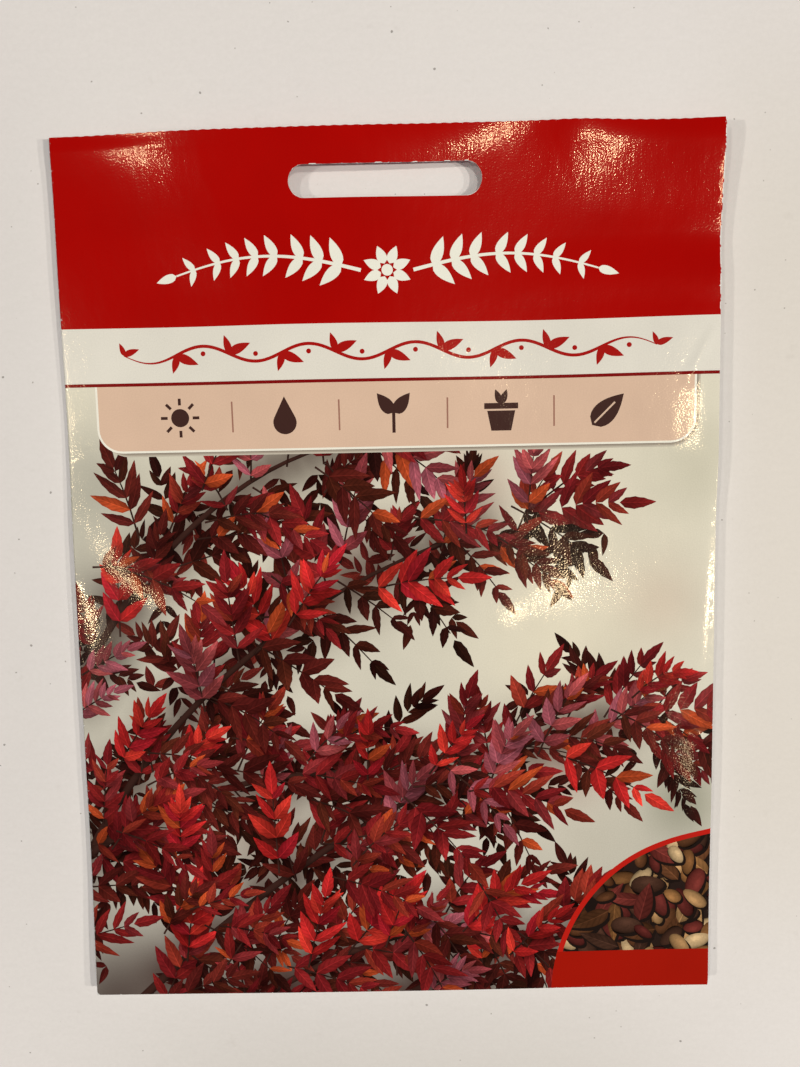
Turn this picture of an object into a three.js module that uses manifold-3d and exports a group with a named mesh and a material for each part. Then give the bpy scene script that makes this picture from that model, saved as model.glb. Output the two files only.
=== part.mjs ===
// A flat paper seed packet lying on its back: one printed sheet folded into a
// pouch, with a header that has a slot for hanging.
// Millimetres, +Z up out of the printed front, +Y towards the header.
// The origin is on the surface that the packet lies on, under its middle.
import * as THREE from 'three';
import { mergeVertices } from 'three/addons/utils/BufferGeometryUtils.js';
import Module from 'manifold-3d';

// ---- driving dimensions -----------------------------------------------------
const WIDTH = 111;            // fold to fold
const HEIGHT = 150;           // bottom fold to top cut
const SHEET = 0.22;           // thickness of the modelled paper
const GLUE_GAP = 0.12;        // between two layers that lie on each other
const EDGE_GAP = 0.05;        // between a panel's edge and the fold beside it

const SLOT_WIDTH = 32;        // hanging slot, round at both ends
const SLOT_HEIGHT = 5.1;
const SLOT_FROM_TOP = 8.1;    // top cut to the middle of the slot

const SEAL_Y = 57;            // the two panels are glued together above this
const POUCH_THICK = 3.5;      // room between the panels at the fullest place
const FULLEST_Y = -26;        // where the contents have settled
const LEFT_RISE = 1.0;        // how far the side folds stand off the surface
const RIGHT_RISE = 2.0;
const SIDE_FADE = 0.5;        // share of that which is lost at the bottom corners
const LEFT_DIP = 0.6;         // share that is lost below the header, on the left
const DIP_Y = 32;
const DIP_HALF = 24;
const BOTTOM_RISE = 1.6;      // the same for the bottom fold at the corners
const BOTTOM_CROWN = 0.6;     // and how much higher its middle is
const HEADER_LEFT = 0.9;      // the same for the top cut at its two corners
const HEADER_RIGHT = 1.8;
const HEADER_CROWN = 2.6;     // and how much higher its middle is
const HEADER_TIP = 0.05;      // share of that which comes in the last few millimetres
const CORNER_CURL = 1.3;      // the top right corner turns up
const CURL_X = 10;            // from here to the corner
const CURL_Y = 55;
const FLAT_X = 26;            // the back lies flat inside this half width
const FLAT_LOW = -35;         // and between these two heights
const FLAT_HIGH = 22;

const COLUMNS = 18;           // facets across and along the panels
const ROWS = 24;
const SEAM_COLUMNS = 2;       // glue flaps, in whole facets of the panels
const BOTTOM_ROWS = 2;
const FOLD_STEPS = 6;         // facets round a fold

const SEEDS_HALF_X = 33;      // the settled seeds
const SEEDS_HALF_Y = 30;
const SEEDS_FILL = 0.6;       // share of the pouch's room that they take

// ---- the surfaces -----------------------------------------------------------
const smooth = (t) => { const c = Math.min(1, Math.max(0, t)); return c * c * (3 - 2 * c); };
const LAYER = SHEET + GLUE_GAP;      // from one layer's middle to the next
const foldLeft = LAYER + SHEET / 2;  // how far each fold stands out of the panels
const foldRight = LAYER / 2 + SHEET / 2;
const foldBottom = LAYER + SHEET / 2;
const left = -WIDTH / 2 + foldLeft + EDGE_GAP;
const right = WIDTH / 2 - foldRight - EDGE_GAP;
const low = -HEIGHT / 2 + foldBottom + EDGE_GAP;
const high = HEIGHT / 2;

// Rise of the header towards the top cut, from 0 to 1.
function lift(y) {
  const r = Math.min(1, Math.max(0, (y - FLAT_HIGH) / (HEIGHT / 2 - FLAT_HIGH)));
  return (1 - HEADER_TIP) * Math.pow(r, 1.7) + HEADER_TIP * smooth((y - 66) / 8);
}

// Middle of the back panel: flat where it lies, rising to the folds.
function backZ(x, y) {
  const u = Math.abs(x) / (WIDTH / 2);
  const sink = smooth((FLAT_LOW - y) / (FLAT_LOW + HEIGHT / 2));
  const dip = LEFT_DIP * Math.pow(Math.max(0, 1 - ((y - DIP_Y) / DIP_HALF) ** 2), 2);
  const rise = x < 0 ? LEFT_RISE * (1 - dip) : RIGHT_RISE;
  const side = rise * (1 - SIDE_FADE * sink) * smooth((Math.abs(x) - FLAT_X) / (WIDTH / 2 - FLAT_X));
  const bottom = sink * (BOTTOM_RISE + BOTTOM_CROWN * (1 - u * u));
  const corners = HEADER_LEFT + (HEADER_RIGHT - HEADER_LEFT) * (0.5 + x / WIDTH);
  const top = lift(y) * (corners + HEADER_CROWN * (1 - u * u));
  const curl = CORNER_CURL * smooth((x - CURL_X) / (WIDTH / 2 - CURL_X)) * smooth((y - CURL_Y) / (HEIGHT / 2 - CURL_Y));
  return SHEET / 2 + Math.hypot(side, bottom, top) + curl;
}

// Room inside the pouch: none at the folds and the seal, most where the seeds are.
function room(x, y) {
  const u = Math.min(1, Math.abs(x) / (WIDTH / 2));
  const across = 1 - Math.pow(u, 2.2);
  const along = y < FULLEST_Y
    ? smooth((y + HEIGHT / 2) / (FULLEST_Y + HEIGHT / 2))
    : Math.pow(smooth((SEAL_Y - y) / (SEAL_Y - FULLEST_Y)), 0.7);
  return POUCH_THICK * across * along;
}

const frontZ = (x, y) => backZ(x, y) + LAYER + room(x, y);

const columnX = (i) => left + (right - left) * i / COLUMNS;
const rowY = (j) => low + (high - low) * j / ROWS;

// ---- solids -----------------------------------------------------------------
// A segmented box whose points are moved one by one; i, j and t are the point's
// steps along the box and its place through the thickness, from -0.5 to 0.5.
function shaped(stepsI, stepsJ, place) {
  const box = new THREE.BoxGeometry(stepsI, stepsJ, 1, stepsI, stepsJ, 1);
  const pos = box.attributes.position;
  for (let k = 0; k < pos.count; k++) {
    const i = Math.round(pos.getX(k) + stepsI / 2);
    const j = Math.round(pos.getY(k) + stepsJ / 2);
    const p = place(i, j, pos.getZ(k));
    pos.setXYZ(k, p[0], p[1], p[2]);
  }
  return onlyPositions(box);
}

function onlyPositions(geometry) {
  geometry.deleteAttribute('normal');
  geometry.deleteAttribute('uv');
  return mergeVertices(geometry, 1e-4);
}

const wasm = await Module();
wasm.setup();

function toSolid(geometry) {
  return new wasm.Manifold(new wasm.Mesh({
    numProp: 3,
    vertProperties: new Float32Array(geometry.attributes.position.array),
    triVerts: new Uint32Array(geometry.index.array),
  }));
}

function toGeometry(solid) {
  const mesh = solid.getMesh();
  const points = new Float32Array(mesh.numVert * 3);
  for (let k = 0; k < mesh.numVert; k++) {
    for (let c = 0; c < 3; c++) points[3 * k + c] = mesh.vertProperties[mesh.numProp * k + c];
  }
  const geometry = new THREE.BufferGeometry();
  geometry.setAttribute('position', new THREE.BufferAttribute(points, 3));
  geometry.setIndex(new THREE.BufferAttribute(new Uint32Array(mesh.triVerts), 1));
  return geometry;
}

function slotCutter() {
  const r = SLOT_HEIGHT / 2;
  const half = SLOT_WIDTH / 2 - r;
  const outline = new THREE.Shape();
  outline.moveTo(-half, -r);
  outline.lineTo(half, -r);
  outline.absarc(half, 0, r, -Math.PI / 2, Math.PI / 2, false);
  outline.lineTo(-half, r);
  outline.absarc(-half, 0, r, Math.PI / 2, 1.5 * Math.PI, false);
  const cutter = new THREE.ExtrudeGeometry(outline, { depth: 20, bevelEnabled: false, curveSegments: 10 });
  cutter.translate(0, HEIGHT / 2 - SLOT_FROM_TOP, -5);
  return onlyPositions(cutter);
}

function panel(z) {
  const sheet = shaped(COLUMNS, ROWS, (i, j, t) => {
    const x = columnX(i), y = rowY(j);
    return [x, y, z(x, y) + SHEET * t];
  });
  return toGeometry(toSolid(sheet).subtract(toSolid(slotCutter())));
}

// Round a fold from the front to a flap under the back: "along" are the steps
// along the fold, "edge" the place of its axis, and "keep" the share of the
// flap's width that is left at each step.
function foldedFlap(along, steps, edge, radius, flapAt, keep) {
  const stepsI = FOLD_STEPS + steps;
  return shaped(stepsI, along.length - 1, (i, j, t) => {
    const v = along[j];
    let out, dz;
    if (i <= FOLD_STEPS) {
      const phi = Math.PI * i / FOLD_STEPS;
      out = edge - Math.sin(phi) * (radius + SHEET * t);
      dz = Math.cos(phi) * (radius + SHEET * t);
    } else {
      out = edge + (flapAt(i - FOLD_STEPS) - edge) * keep(v);
      dz = -radius - SHEET * t;
    }
    return [out, v, dz];
  });
}

function remap(geometry, place) {
  const pos = geometry.attributes.position;
  for (let k = 0; k < pos.count; k++) {
    const p = place(pos.getX(k), pos.getY(k), pos.getZ(k));
    pos.setXYZ(k, p[0], p[1], p[2]);
  }
  return geometry;
}

// A strip that is laid from right to left comes out with its faces reversed.
function rightSideOut(geometry) {
  const index = geometry.index.array;
  for (let k = 0; k < index.length; k += 3) [index[k + 1], index[k + 2]] = [index[k + 2], index[k + 1]];
  return geometry;
}

const rows = Array.from({ length: ROWS + 1 }, (_, j) => rowY(j));
const columns = Array.from({ length: COLUMNS + 1 }, (_, i) => columnX(i));
const bottomFlapTop = rowY(BOTTOM_ROWS);

// Left fold and the glue flap that goes on from it behind the back panel. The
// flap stops above the bottom flap.
function seamFlap() {
  const keep = (y) => 0.02 + 0.98 * smooth((y - bottomFlapTop) / (rowY(BOTTOM_ROWS + 1) - bottomFlapTop));
  const strip = foldedFlap(rows, SEAM_COLUMNS, left - EDGE_GAP, LAYER, (i) => columnX(i), keep);
  return rightSideOut(remap(strip, (x, y, dz) => [x, y, backZ(Math.max(x, left), y) + dz]));
}

// Bottom fold and its flap, cut back at a slant at both ends.
function bottomFlap() {
  const inner = columns.slice(0);
  inner[0] = left + 0.45;
  inner[COLUMNS] = right - 0.05;
  const keep = (x) => 0.04 + 0.96 * smooth((WIDTH / 2 - 1.5 - Math.abs(x)) / 5);
  const strip = foldedFlap(inner, BOTTOM_ROWS, low - EDGE_GAP, LAYER, (j) => rowY(j), keep);
  return remap(strip, (across, x, dz) => [x, across, backZ(x, Math.max(across, low)) + dz]);
}

// Right fold: front and back are one sheet here.
function rightFold() {
  const radius = LAYER / 2;
  return shaped(FOLD_STEPS, ROWS, (i, j, t) => {
    const y = rowY(j);
    const phi = Math.PI * (1 - i / FOLD_STEPS);
    const r = radius + SHEET * t;
    return [right + EDGE_GAP + Math.sin(phi) * r, y, backZ(right, y) + radius + Math.cos(phi) * r * -1];
  });
}

// The seeds: a low uneven mound between the panels.
function seedFill() {
  const ball = onlyPositions(new THREE.SphereGeometry(1, 20, 10).rotateX(Math.PI / 2));
  return remap(ball, (a, b, c) => {
    const x = a * SEEDS_HALF_X * (1 + 0.06 * Math.sin(5 * b));
    const y = FULLEST_Y - 6 + b * SEEDS_HALF_Y * (1 + 0.05 * Math.cos(4 * a));
    const half = room(x, y) * SEEDS_FILL / 2;
    return [x, y, backZ(x, y) + LAYER / 2 + room(x, y) / 2 + c * half];
  });
}

// ---- the packet -------------------------------------------------------------
const packet = new THREE.Group();

function add(name, geometry, color, roughness) {
  geometry.computeVertexNormals();
  const mesh = new THREE.Mesh(geometry, new THREE.MeshStandardMaterial({ color, roughness, metalness: 0 }));
  mesh.name = name;
  packet.add(mesh);
}

add('front_panel', panel(frontZ), 0xb3150d, 0.35);
add('back_panel', panel(backZ), 0xe3dac6, 0.5);
add('right_fold', rightFold(), 0xefeae0, 0.6);
add('seam_flap', seamFlap(), 0xe6dfcf, 0.5);
add('bottom_flap', bottomFlap(), 0xe0d8c6, 0.5);
add('seed_fill', seedFill(), 0x7a4a2a, 0.8);

export default packet;
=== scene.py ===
"""A glossy paper seed packet lying on its back on a pale table.

The front is one thin sheet, split along the edges of everything that is printed
Each face carries its ink colour and its place on the leaf or seed that it
belongs to, and the material draws veins, shading, grain and wear from those;
the white line along the right fold is partly wear and partly painted highlight.
Lengths are in millimetres until a mesh is made.
"""

import math

import bpy
import numpy as np
from mathutils import Matrix
from mathutils.geometry import delaunay_2d_cdt


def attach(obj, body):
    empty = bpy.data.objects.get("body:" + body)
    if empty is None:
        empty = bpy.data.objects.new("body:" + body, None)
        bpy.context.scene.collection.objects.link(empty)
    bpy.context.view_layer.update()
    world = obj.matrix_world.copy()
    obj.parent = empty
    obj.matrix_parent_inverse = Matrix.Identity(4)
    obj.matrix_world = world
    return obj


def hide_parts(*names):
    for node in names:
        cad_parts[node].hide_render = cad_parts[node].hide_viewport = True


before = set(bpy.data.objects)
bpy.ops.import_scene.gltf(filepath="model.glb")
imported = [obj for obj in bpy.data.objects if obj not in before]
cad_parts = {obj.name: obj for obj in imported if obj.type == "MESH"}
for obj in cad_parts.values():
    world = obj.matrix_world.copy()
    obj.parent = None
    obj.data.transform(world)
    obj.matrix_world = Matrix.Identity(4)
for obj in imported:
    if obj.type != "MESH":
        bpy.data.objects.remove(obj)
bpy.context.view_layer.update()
rng = np.random.default_rng(41)
MM = 0.001
PI = math.pi

# ---- the packet's own sizes ---------------------------------------------------
WIDTH, HEIGHT = 111.0, 150.0
SHEET, GLUE_GAP = 0.22, 0.12
LAYER = SHEET + GLUE_GAP
HALF_W, HALF_H = WIDTH / 2, HEIGHT / 2
AXIS_L = -HALF_W + LAYER + SHEET / 2      # where the left, right and bottom folds begin
AXIS_R = HALF_W - LAYER / 2 - SHEET / 2
AXIS_B = -HALF_H + LAYER + SHEET / 2
ARC_L = LAYER * PI / 2                    # a quarter turn of the sheet round each fold
ARC_R = LAYER / 2 * PI / 2
ARC_B = LAYER * PI / 2
SLOT_Y, SLOT_HALF, SLOT_R = HALF_H - 8.1, 32.0 / 2, 5.1 / 2
SEAL_Y, FULLEST_Y, POUCH = 57.0, -26.0, 3.5

# print layout
HEADER_Y = 44.0                           # foot of the red header
RULE_Y, RULE = 34.55, 0.55                # rule under the pale band
PANEL_L, PANEL_R, PANEL_Y, PANEL_CORNER = -49.9, 51.2, 23.3, 3.8
INSET_X, INSET_Y, INSET_R = 57.9, -76.1, 30.9
LABEL_Y = -67.9


def smooth(t):
    t = np.clip(t, 0.0, 1.0)
    return t * t * (3 - 2 * t)


LIGHT = np.array([1.0, 0.90, 0.72])        # the lamps' warm colour


def srgb(r, g, b):
    """The linear colour of a surface that looks like this sRGB colour, 0 to 255, in the lamps' light."""
    c = np.array([r, g, b], float) / 255
    return np.minimum(np.where(c <= 0.04045, c / 12.92, ((c + 0.055) / 1.055) ** 2.4) / LIGHT, 0.92)


# ---- the sheet's shape --------------------------------------------------------
def back_z(x, y):
    """Middle of the back sheet: flat where it lies on the table, raised at the sides, the foot and the header."""
    u = np.abs(x) / HALF_W
    sink = smooth((-35 - y) / 40)
    dip = 0.45 * np.maximum(0, 1 - ((y - 32) / 24) ** 2) ** 2
    mid = smooth((y - 8) / 14) * smooth((58 - y) / 10)
    start = 22 - 14 * smooth((y - 8) / 14) - 6 * mid
    rise = np.where(x < 0, 1.0 - dip, 2.0 + 0.8 * mid)
    bend = np.where(x < 0, smooth((-x - 26) / (HALF_W - 26)), np.clip((x - start) / (HALF_W - start), 0, None) ** 2)
    side = rise * (1 - np.where(x < 0, 0.2, 0.5) * sink) * bend
    bottom = sink * (1.6 + 0.6 * (1 - u * u))
    low = np.sqrt(side**2 + bottom**2)
    reach = np.where(x < -14, 16 + 8 * smooth((y - 48) / 12), 24)
    neck = smooth((y - 14) / 30) * (0.6 - (0.7 - 0.25 * smooth((y - 46) / 10)) * smooth(x / 30) + 1.3 * np.exp(-(((x + 14) / reach) ** 2)))
    head = neck + 0.375 * np.clip((y - 54) / 21, 0, None) ** 4 * (0.9 + 0.9 * (0.5 + x / WIDTH) + 2.6 * (1 - u * u) - 1.5 * np.exp(-(((x - 21) / 9) ** 2)))
    both = np.sqrt(low**2 + head**2)
    both = np.where(x < 0, both, both + (low + head - both) * smooth((58 - y) / 12))
    curl = 1.15 * smooth((x - 10) / (HALF_W - 10)) * smooth((y - 60) / (HALF_H - 60))
    arch = 1.05 * np.exp(-(((x + 8) / 32) ** 2)) * np.clip((y - 48) / 27, 0, None) ** 2
    lip = 0.3 * np.clip((x - 44) / 11.5, 0, None) ** 2 * smooth((y - 54) / 8)
    return SHEET / 2 + both + curl + arch + lip


def room(x, y):
    """How far the pouch stands open."""
    u = np.minimum(1.0, np.abs(x) / HALF_W)
    low = smooth((y + HALF_H) / (FULLEST_Y + HALF_H))
    high = 0.08 * smooth((SEAL_Y - y) / (SEAL_Y - FULLEST_Y)) + 0.92 * smooth((17 - y) / 34)
    return POUCH * (1 - u**2.2) * np.where(y < FULLEST_Y, low, high)


# seeds that press out through the paper: place, radius, height
LUMPS = [(-33.5, -6, 11, 0.8), (20, -8, 11, 0.7), (-12, -12, 9, 0.25), (-22, -30, 8, 0.24), (4, -34, 7, 0.2), (22, -44, 8, 0.2),
         (-6, -54, 9, 0.22), (-36, -50, 8, 0.2), (38, -34, 7, 0.16), (6, -18, 7, 0.2), (40, -14, 7, 0.2), (-30, -20, 7, 0.2)]
# creases: from, to, width, depth
CREASES = [(55.0, 42.5, 49.6, 32.0, 0.9, 0.16), (-55.0, 21.5, -48.5, 24.5, 1.1, 0.10), (55.0, -30.0, 50.0, -26.5, 1.0, 0.12),
           (-55.0, -34.0, -49.0, -37.0, 1.2, 0.12), (-31, 73, -26, 57, 1.2, 0.03)]


def ridge(x, y, x0, y0, x1, y1, width, height):
    dx, dy = x1 - x0, y1 - y0
    t = ((x - x0) * dx + (y - y0) * dy) / (dx * dx + dy * dy)
    c = np.clip(t, 0, 1)
    far = np.hypot(x - x0 - c * dx, y - y0 - c * dy)
    return height * np.exp(-((far / width) ** 2)) * np.clip(1.15 - np.abs(2 * c - 1) ** 3, 0, 1)


def together(x, y):
    """Bends that front and back share in the header, where they are glued, and the pressed top edge."""
    up = smooth((y - 48) / 22)
    tip = np.clip((y - 57) / 18, 0, None) ** 2
    press = (0.2 * (1 - smooth((x + 32) / 12)) * smooth((y - 72.5) / 2.9)
             + 0.33 * (1 - smooth((31 - x) / 9)) * np.clip((y - 71.5) / 3.5, 0, None) ** 2)
    wave = 0.16 * np.sin(2 * PI * x / 46) + 0.08 * np.sin(2 * PI * (x - 4) / 29 + 0.05 * y) + 0.4 * smooth((x - 2) / 18)
    return (up * wave + 0.7 * tip * np.exp(-(((x - 32) / np.where(x < 32, 6, 8)) ** 2))
            + 0.6 * tip * np.exp(-(((x + 37) / np.where(x < -37, 24, 14)) ** 2)) - press)


def spring(x, y):
    """The front standing off the back next to the folds."""
    right = smooth((x - 28) / 22) * (1 - np.exp(-np.maximum(HALF_W - x, 0) / 2.2))
    right = right * (0.45 + 0.3 * smooth((20 - y) / 12)) * smooth((50 - y) / 10) * smooth((y + 66) / 20)
    left = smooth((-x - 10) / 26) * (1 - np.exp(-np.maximum(HALF_W + x, 0) / 5.0))
    left = 0.9 * left * smooth((16 - y) / 20) * smooth((y + 60) / 40)
    return right + left


def front_z(x, y):
    open_by = room(x, y)
    z = back_z(x, y) + LAYER + open_by + together(x, y) + spring(x, y)
    z = z + smooth(open_by / 1.4) * (0.08 * np.sin(2 * PI * x / 27 + 0.8 * np.sin(2 * PI * y / 70))
                                     + 0.05 * np.sin(2 * PI * (0.8 * x + 0.5 * y) / 35 + 1.3))
    full = smooth(open_by / 0.5)
    for lx, ly, lr, lh in LUMPS:
        z = z + full * lh * np.exp(-((x - lx) ** 2 + (y - ly) ** 2) / lr**2)
    for c in CREASES:
        z = z + ridge(x, y, *c)
    return z


def back_mid(x, y):
    return back_z(x, y) + together(x, y)


def untrue(a, b):
    """How far up a point of the header lies, the top being cut slightly out of true."""
    return b + 0.85 * np.exp(-(((a - 28) / 20) ** 2)) * smooth((b - 58) / 17)


def front_point(a, b):
    """Middle of the front sheet for a point of the flat, unfolded sheet."""
    fl = np.clip((AXIS_L - a) / LAYER, 0, PI / 2)
    fr = np.clip((a - AXIS_R) / (LAYER / 2), 0, PI / 2)
    fb = np.clip((AXIS_B - b) / LAYER, 0, PI / 2)
    ca, cb = np.clip(a, AXIS_L, AXIS_R), np.maximum(b, AXIS_B)
    drop = ((LAYER * (1 - np.cos(fl))) ** 4 + (LAYER / 2 * (1 - np.cos(fr))) ** 4 + (LAYER * (1 - np.cos(fb))) ** 4) ** 0.25
    return np.stack([ca - LAYER * np.sin(fl) + LAYER / 2 * np.sin(fr), untrue(ca, cb) - LAYER * np.sin(fb), front_z(ca, cb) - drop], -1)


def back_point(a, b):
    fr = np.clip((a - AXIS_R) / (LAYER / 2), 0, PI / 2)
    ca = np.minimum(a, AXIS_R)
    return np.stack([ca + LAYER / 2 * np.sin(fr), untrue(ca, b), back_mid(ca, b) + LAYER / 2 * (1 - np.cos(fr))], -1)


def normals_of(point, a, b, h=0.015):
    da = point(a + h, b) - point(a - h, b)
    db = point(a, b + h) - point(a, b - h)
    n = np.cross(da, db)
    return n / np.maximum(np.linalg.norm(n, axis=-1, keepdims=True), 1e-12)


# ---- what is printed ----------------------------------------------------------
PLAIN, LEAF, SEED, STEM = 0, 1, 2, 3
LEAF_P, LEAF_Q = 0.62, 1.05
LEAF_NORM = 1 / ((LEAF_P / (LEAF_P + LEAF_Q)) ** LEAF_P * (LEAF_Q / (LEAF_P + LEAF_Q)) ** LEAF_Q)


class Inks:
    """Shapes in the order in which they are printed, each over the ones before."""

    def __init__(self):
        self.rings, self.rows = [], []

    def add(self, ring, colour, kind=PLAIN, local=(0, 0, 0, 1, 1, 0)):
        ring = np.asarray(ring, float)
        x, y = ring[:, 0], ring[:, 1]
        if np.sum(x * np.roll(y, -1) - np.roll(x, -1) * y) < 0:
            ring = ring[::-1]
        self.rings.append(ring)
        self.rows.append((kind, *colour, *local))

    def leaf(self, x, y, angle, length, half, bend, colour, teeth=0.0, n=12, kind=LEAF):
        t = (np.arange(n + 1) / n) ** 0.9
        w = half * LEAF_NORM * t**LEAF_P * (1 - t) ** LEAF_Q
        if teeth:
            w = w * (1 + teeth * np.where(np.arange(n + 1) % 2, 1.0, -1.0))
        along = np.concatenate([t, t[-2:0:-1]])
        side = np.concatenate([w, -w[-2:0:-1]]) + bend * along**2
        c, s = math.cos(angle), math.sin(angle)
        ring = np.stack([x + c * along * length - s * side, y + s * along * length + c * side], -1)
        self.add(ring, colour, kind, (x, y, angle, length, half, bend))

    def seed(self, x, y, angle, length, half, colour, n=18):
        t = 2 * PI * np.arange(n) / n
        p = np.cos(t) * length
        q = np.sin(t) * half * (1 - 0.22 * np.cos(t))
        c, s = math.cos(angle), math.sin(angle)
        self.add(np.stack([x + c * p - s * q, y + s * p + c * q], -1), colour, SEED, (x, y, angle, length, half, 0))

    def stroke(self, line, widths, colour, kind=PLAIN):
        line = np.asarray(line, float)
        way = np.gradient(line, axis=0)
        way /= np.maximum(np.linalg.norm(way, axis=1, keepdims=True), 1e-9)
        out = np.stack([-way[:, 1], way[:, 0]], -1) * (np.broadcast_to(widths, len(line)) / 2)[:, None]
        for i in range(len(line) - 1):
            mid, w = (line[i] + line[i + 1]) / 2, float(np.mean(np.broadcast_to(widths, len(line))[i:i + 2]))
            turn = math.atan2(*(line[i + 1] - line[i])[::-1])
            self.add([line[i] - out[i], line[i + 1] - out[i + 1], line[i + 1] + out[i + 1], line[i] + out[i]],
                     colour, kind, (mid[0], mid[1], turn, 1.0, max(w / 2, 1e-3), 0))

    def disc(self, x, y, r, colour, n=28):
        t = 2 * PI * np.arange(n) / n
        self.add(np.stack([x + r * np.cos(t), y + r * np.sin(t)], -1), colour)


def bezier(p0, p1, p2, n):
    t = np.linspace(0, 1, n)[:, None]
    return (1 - t) ** 2 * np.array(p0, float) + 2 * t * (1 - t) * np.array(p1, float) + t**2 * np.array(p2, float)


def rounded_foot(left, right, top, foot, r, n=9):
    """A rectangle with its two lower corners rounded."""
    t = np.linspace(0, PI / 2, n)
    a = np.stack([left + r - r * np.cos(t), foot + r - r * np.sin(t)], -1)
    b = np.stack([right - r + r * np.sin(t), foot + r - r * np.cos(t)], -1)
    return np.concatenate([[[left, top]], a, b, [[right, top]]])


DEEP = [srgb(44, 14, 11), srgb(54, 18, 13), srgb(62, 20, 15), srgb(50, 22, 13), srgb(70, 26, 16)]
DARK = [srgb(76, 22, 18), srgb(88, 26, 22), srgb(96, 30, 24), srgb(82, 32, 20), srgb(104, 34, 26)]
MIDDLE = [srgb(122, 28, 26), srgb(136, 32, 32), srgb(112, 24, 26), srgb(140, 46, 32), srgb(128, 40, 40)]
BRIGHT = [srgb(176, 34, 32), srgb(194, 40, 38), srgb(204, 52, 40), srgb(168, 30, 38)]
SHEEN = [srgb(150, 70, 76), srgb(164, 82, 90), srgb(142, 58, 60), srgb(172, 74, 72)]
TWIG = srgb(50, 28, 22)

# arching branches of the printed spray: from, by way of, to, how many leaves
BRANCHES = [((-66, -70), (-40, -4), (24, 11), 13), ((-62, -30), (-38, 22), (-2, 25), 8), ((-56, -84), (-2, -30), (44, -24), 14),
            ((-60, -52), (-30, -26), (14, -36), 10), ((-40, -86), (-8, -60), (22, -62), 8), ((-20, -90), (20, -58), (50, -66), 5)]


def feather(x, y, angle, length, pairs, droop, depth, tone):
    """One compound leaf: pairs of pointed leaflets along a stalk that droops, and one at its tip."""
    way = np.array([math.cos(angle), math.sin(angle)])
    start = np.array([x, y])
    line = bezier(start, start + 0.55 * length * way, start + 0.92 * length * way - [0, droop], 14)
    blades = []
    for k in range(pairs):
        t = 0.16 + 0.76 * (k + rng.uniform(-0.08, 0.08)) / max(pairs - 1, 1)
        i = int(np.clip(t * 13, 1, 12))
        step = line[i + 1] - line[i - 1]
        turn = math.atan2(step[1], step[0])
        size = length * (0.25 + 0.15 * math.sin(PI * min(t + 0.12, 1.0)))
        for side in (1, -1):
            open_by = rng.uniform(0.62, 1.15) * (1 - 0.25 * t)
            blades.append((depth + 0.002 * k + 0.0005 * side, *line[i], turn + side * open_by, size * rng.uniform(0.8, 1.15),
                           size * rng.uniform(0.13, 0.20), -side * rng.uniform(0.0, 0.9), tone))
    step = line[-1] - line[-2]
    blades.append((depth + 0.02, *line[-1], math.atan2(step[1], step[0]), length * 0.36, length * 0.062, rng.uniform(-0.5, 0.5), tone))
    return line, blades


def tone_of(pick):
    """Dark leaves deep in the spray and where the light doesn't reach, bright ones outside."""
    pick = pick + rng.normal(0, 0.12)
    if pick > 0.5 and rng.random() < 0.2:
        return SHEEN
    return DEEP if pick < 0.30 else DARK if pick < 0.52 else MIDDLE if pick < 0.78 else BRIGHT


def in_sight(leaves):
    """Which leaves, each over the ones before, still show once all of them, the panel and the corner picture are printed."""
    step = 0.22
    gx, gy = np.meshgrid(np.arange(-56, 56, step), np.arange(-76, 30, step))
    last = np.full(gx.shape, -1)
    size = np.zeros(len(leaves))
    for m, (_, x, y, angle, length, half, bend, _) in enumerate(leaves):
        i0, i1 = np.clip(((np.array([x - length, x + length]) + 56) / step).astype(int) + [-2, 3], 0, gx.shape[1])
        j0, j1 = np.clip(((np.array([y - length, y + length]) + 76) / step).astype(int) + [-2, 3], 0, gx.shape[0])
        dx, dy = gx[j0:j1, i0:i1] - x, gy[j0:j1, i0:i1] - y
        u = (dx * math.cos(angle) + dy * math.sin(angle)) / length
        v = np.abs(-dx * math.sin(angle) + dy * math.cos(angle) - bend * u * u)
        c = np.clip(u, 0, 1)
        hit = (u > 0) & (u < 1) & (v < half * LEAF_NORM * c**LEAF_P * (1 - c) ** LEAF_Q)
        size[m] = hit.sum()
        last[j0:j1, i0:i1][hit] = m
    last[(gy > PANEL_Y) & (gx > PANEL_L) & (gx < PANEL_R)] = -1
    last[np.hypot(gx - INSET_X, gy - INSET_Y) < INSET_R] = -1
    seen = np.bincount(last[last >= 0], minlength=len(leaves))
    return seen > np.maximum(3, 0.10 * size)


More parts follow.
